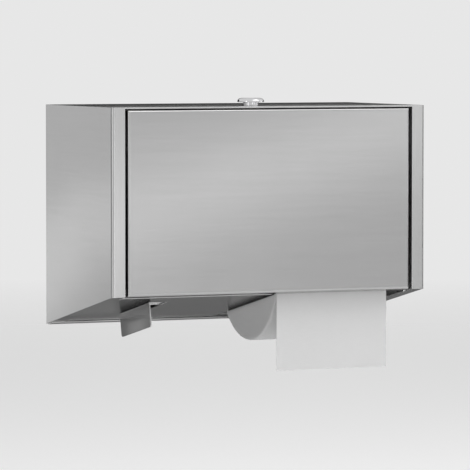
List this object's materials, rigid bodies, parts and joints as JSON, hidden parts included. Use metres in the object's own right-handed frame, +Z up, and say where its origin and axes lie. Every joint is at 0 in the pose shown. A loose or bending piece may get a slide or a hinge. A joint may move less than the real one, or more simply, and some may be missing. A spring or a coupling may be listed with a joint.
{
  "type": "toilet roll dispenser",
  "caption": "Wall-hung brushed steel dispenser for toilet rolls side by side: lockable bottom-hinged door, slanted bottom, and a slide with a finger tab that holds back the reserve roll.",
  "frame": {"origin": "middle of the back plate's rear face, on the wall, halfway up the rear height", "axes": "+X to the right seen from the front, +Y into the wall, +Z up"},
  "size_m": [0.284, 0.152, 0.2277],
  "materials": {
    "housing_steel": "brushed, satin",
    "door_steel": "brushed along its width, satin",
    "slide_steel": "brushed, satin",
    "inner_steel": "mill finish, satin",
    "fasteners": "turned, satin",
    "pin_steel": "blackened, dull",
    "lock_chrome": "bright",
    "nylon": "moulded, matt",
    "paper": "soft tissue, matt",
    "core_board": "grey-brown cardboard, matt"
  },
  "bodies": {
    "root": {"housing": "housing_steel", "back_plate": "inner_steel", "rear_slide_rail": "inner_steel", "left_bracket": "inner_steel", "right_bracket": "inner_steel", "centre_bracket": "inner_steel", "guide_shoe": "nylon", "shoe_rivet_front": "fasteners", "shoe_rivet_rear": "fasteners", "hinge_pin_left": "pin_steel", "hinge_pin_right": "pin_steel", "lock_barrel": "lock_chrome", "lock_nut": "fasteners"},
    "door": {"door_panel": "door_steel", "door_strike": "inner_steel"},
    "lock": {"lock_plug": "lock_chrome", "lock_cam": "inner_steel", "cam_screw": "fasteners"},
    "slide": {"closing_slide": "slide_steel"},
    "spindle_in_use": {"right_spindle": "fasteners", "paper_tail": "paper"},
    "roll_in_use": {"right_hub": "nylon", "right_core": "core_board", "right_paper": "paper"},
    "spindle_in_reserve": {"left_spindle": "fasteners"},
    "roll_in_reserve": {"left_hub": "nylon", "left_core": "core_board", "left_paper": "paper"}
  },
  "joints": [
    {"name": "door_hinge", "type": "hinge", "parent": "root", "child": "door", "pos_m": [0, -0.1485, -0.058], "axis": [1, 0, 0], "range_deg": [0, 95]},
    {"name": "lock_turn", "type": "hinge", "parent": "root", "child": "lock", "pos_m": [0, -0.11, 0.0935], "axis": [0, 0, 1], "range_deg": [0, 90]},
    {"name": "slide_travel", "type": "slide", "parent": "root", "child": "slide", "axis": [1, 0, 0], "range_m": [0, 0.1192], "deforming": ["right_paper"]},
    {"name": "spindle_in_use_lift", "type": "slide", "parent": "root", "child": "spindle_in_use", "axis": [0, 0, 1], "range_m": [0, 0.0399]},
    {"name": "roll_in_use_spin", "type": "hinge", "parent": "spindle_in_use", "child": "roll_in_use", "pos_m": [0.06125, -0.079, -0.046], "axis": [1, 0, 0], "continuous": true},
    {"name": "spindle_in_reserve_lift", "type": "slide", "parent": "root", "child": "spindle_in_reserve", "axis": [0, 0, 1], "range_m": [0, 0.0072]},
    {"name": "roll_in_reserve_spin", "type": "hinge", "parent": "spindle_in_reserve", "child": "roll_in_reserve", "pos_m": [-0.06125, -0.079, -0.0133], "axis": [1, 0, 0], "continuous": true}
  ]
}
